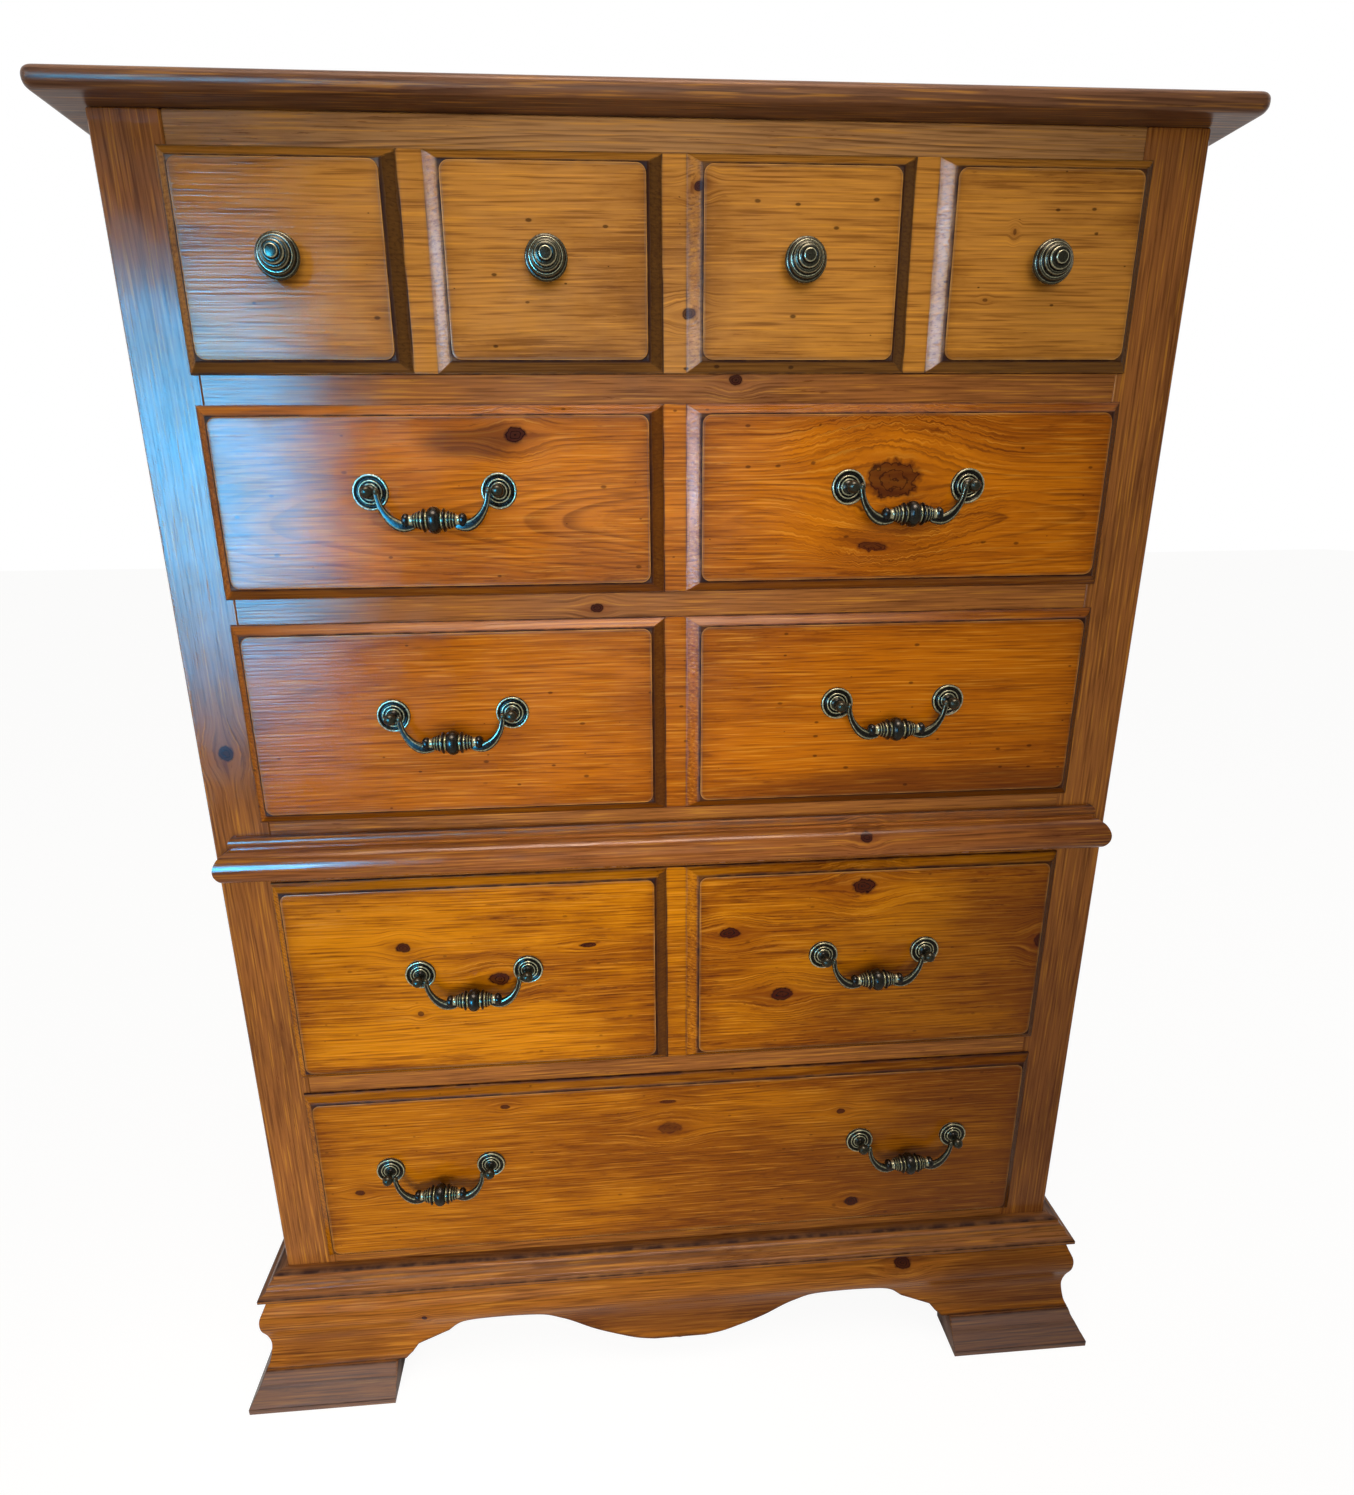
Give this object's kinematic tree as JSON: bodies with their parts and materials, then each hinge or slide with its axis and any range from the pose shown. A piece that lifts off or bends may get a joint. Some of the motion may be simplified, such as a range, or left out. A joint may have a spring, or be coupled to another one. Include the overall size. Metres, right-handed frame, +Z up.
{
  "type": "tall dresser",
  "caption": "Tall stained-pine dresser with raised-panel drawers on slides, bail pulls and knobs, a waist moulding and an ogee bracket base.",
  "frame": {"origin": "on the floor, under the middle of the dresser's overall box", "axes": "+Z up, the drawer fronts face -Y, +X to the right as seen from the front"},
  "size_m": [0.9264, 0.5012, 1.217],
  "materials": {
    "stained_pine": "honey-brown stain under satin lacquer",
    "panel_pine": "amber stain with dark glaze in the recesses, satin lacquer",
    "dark_pine": "brown stain under satin lacquer, lightly distressed",
    "drawer_wood": "bare planed wood",
    "plywood": "bare thin plywood",
    "antique_brass": "dark antique patina, rubbed bright on the edges"
  },
  "bodies": {
    "case": {"top_board": "stained_pine", "side_left": "stained_pine", "side_right": "stained_pine", "back_panel": "plywood", "stile_left": "stained_pine", "stile_right": "stained_pine", "top_rail": "stained_pine", "frame_1": "stained_pine", "frame_2": "stained_pine", "frame_3": "stained_pine", "frame_4": "stained_pine", "bottom_frame": "stained_pine", "waist_moulding": "dark_pine", "base_moulding": "dark_pine", "bracket_front": "dark_pine", "bracket_left": "dark_pine", "bracket_right": "dark_pine"},
    "drawer_1": {"drawer_1_front": "panel_pine", "drawer_1_box": "drawer_wood", "drawer_1_bottom": "plywood", "drawer_1_knob_1": "antique_brass", "drawer_1_knob_2": "antique_brass", "drawer_1_knob_3": "antique_brass", "drawer_1_knob_4": "antique_brass"},
    "drawer_2": {"drawer_2_front": "panel_pine", "drawer_2_box": "drawer_wood", "drawer_2_bottom": "plywood", "drawer_2_left_post_left": "antique_brass", "drawer_2_left_post_right": "antique_brass", "drawer_2_right_post_left": "antique_brass", "drawer_2_right_post_right": "antique_brass"},
    "drawer_2_left_bail": {"drawer_2_left_bail": "antique_brass"},
    "drawer_2_right_bail": {"drawer_2_right_bail": "antique_brass"},
    "drawer_3": {"drawer_3_front": "panel_pine", "drawer_3_box": "drawer_wood", "drawer_3_bottom": "plywood", "drawer_3_left_post_left": "antique_brass", "drawer_3_left_post_right": "antique_brass", "drawer_3_right_post_left": "antique_brass", "drawer_3_right_post_right": "antique_brass"},
    "drawer_3_left_bail": {"drawer_3_left_bail": "antique_brass"},
    "drawer_3_right_bail": {"drawer_3_right_bail": "antique_brass"},
    "drawer_4": {"drawer_4_front": "panel_pine", "drawer_4_box": "drawer_wood", "drawer_4_bottom": "plywood", "drawer_4_left_post_left": "antique_brass", "drawer_4_left_post_right": "antique_brass", "drawer_4_right_post_left": "antique_brass", "drawer_4_right_post_right": "antique_brass"},
    "drawer_4_left_bail": {"drawer_4_left_bail": "antique_brass"},
    "drawer_4_right_bail": {"drawer_4_right_bail": "antique_brass"},
    "drawer_5": {"drawer_5_front": "panel_pine", "drawer_5_box": "drawer_wood", "drawer_5_bottom": "plywood", "drawer_5_left_post_left": "antique_brass", "drawer_5_left_post_right": "antique_brass", "drawer_5_right_post_left": "antique_brass", "drawer_5_right_post_right": "antique_brass"},
    "drawer_5_left_bail": {"drawer_5_left_bail": "antique_brass"},
    "drawer_5_right_bail": {"drawer_5_right_bail": "antique_brass"}
  },
  "joints": [
    {"name": "drawer_1_slide", "type": "slide", "parent": "case", "child": "drawer_1", "axis": [0, -1, 0], "range_m": [0, 0.32]},
    {"name": "drawer_2_slide", "type": "slide", "parent": "case", "child": "drawer_2", "axis": [0, -1, 0], "range_m": [0, 0.32]},
    {"name": "drawer_2_left_bail_hinge", "type": "hinge", "parent": "drawer_2", "child": "drawer_2_left_bail", "pos_m": [-0.1945, -0.2307, 0.9392], "axis": [-1, 0, 0], "range_deg": [0, 95]},
    {"name": "drawer_2_right_bail_hinge", "type": "hinge", "parent": "drawer_2", "child": "drawer_2_right_bail", "pos_m": [0.1945, -0.2307, 0.9392], "axis": [-1, 0, 0], "range_deg": [0, 95]},
    {"name": "drawer_3_slide", "type": "slide", "parent": "case", "child": "drawer_3", "axis": [0, -1, 0], "range_m": [0, 0.32]},
    {"name": "drawer_3_left_bail_hinge", "type": "hinge", "parent": "drawer_3", "child": "drawer_3_left_bail", "pos_m": [-0.1945, -0.2307, 0.75495], "axis": [-1, 0, 0], "range_deg": [0, 95]},
    {"name": "drawer_3_right_bail_hinge", "type": "hinge", "parent": "drawer_3", "child": "drawer_3_right_bail", "pos_m": [0.1945, -0.2307, 0.75495], "axis": [-1, 0, 0], "range_deg": [0, 95]},
    {"name": "drawer_4_slide", "type": "slide", "parent": "case", "child": "drawer_4", "axis": [0, -1, 0], "range_m": [0, 0.32]},
    {"name": "drawer_4_left_bail_hinge", "type": "hinge", "parent": "drawer_4", "child": "drawer_4_left_bail", "pos_m": [-0.1945, -0.2307, 0.5012], "axis": [-1, 0, 0], "range_deg": [0, 95]},
    {"name": "drawer_4_right_bail_hinge", "type": "hinge", "parent": "drawer_4", "child": "drawer_4_right_bail", "pos_m": [0.1945, -0.2307, 0.5012], "axis": [-1, 0, 0], "range_deg": [0, 95]},
    {"name": "drawer_5_slide", "type": "slide", "parent": "case", "child": "drawer_5", "axis": [0, -1, 0], "range_m": [0, 0.32]},
    {"name": "drawer_5_left_bail_hinge", "type": "hinge", "parent": "drawer_5", "child": "drawer_5_left_bail", "pos_m": [-0.2445, -0.2307, 0.2762], "axis": [-1, 0, 0], "range_deg": [0, 95]},
    {"name": "drawer_5_right_bail_hinge", "type": "hinge", "parent": "drawer_5", "child": "drawer_5_right_bail", "pos_m": [0.2445, -0.2307, 0.2762], "axis": [-1, 0, 0], "range_deg": [0, 95]}
  ]
}
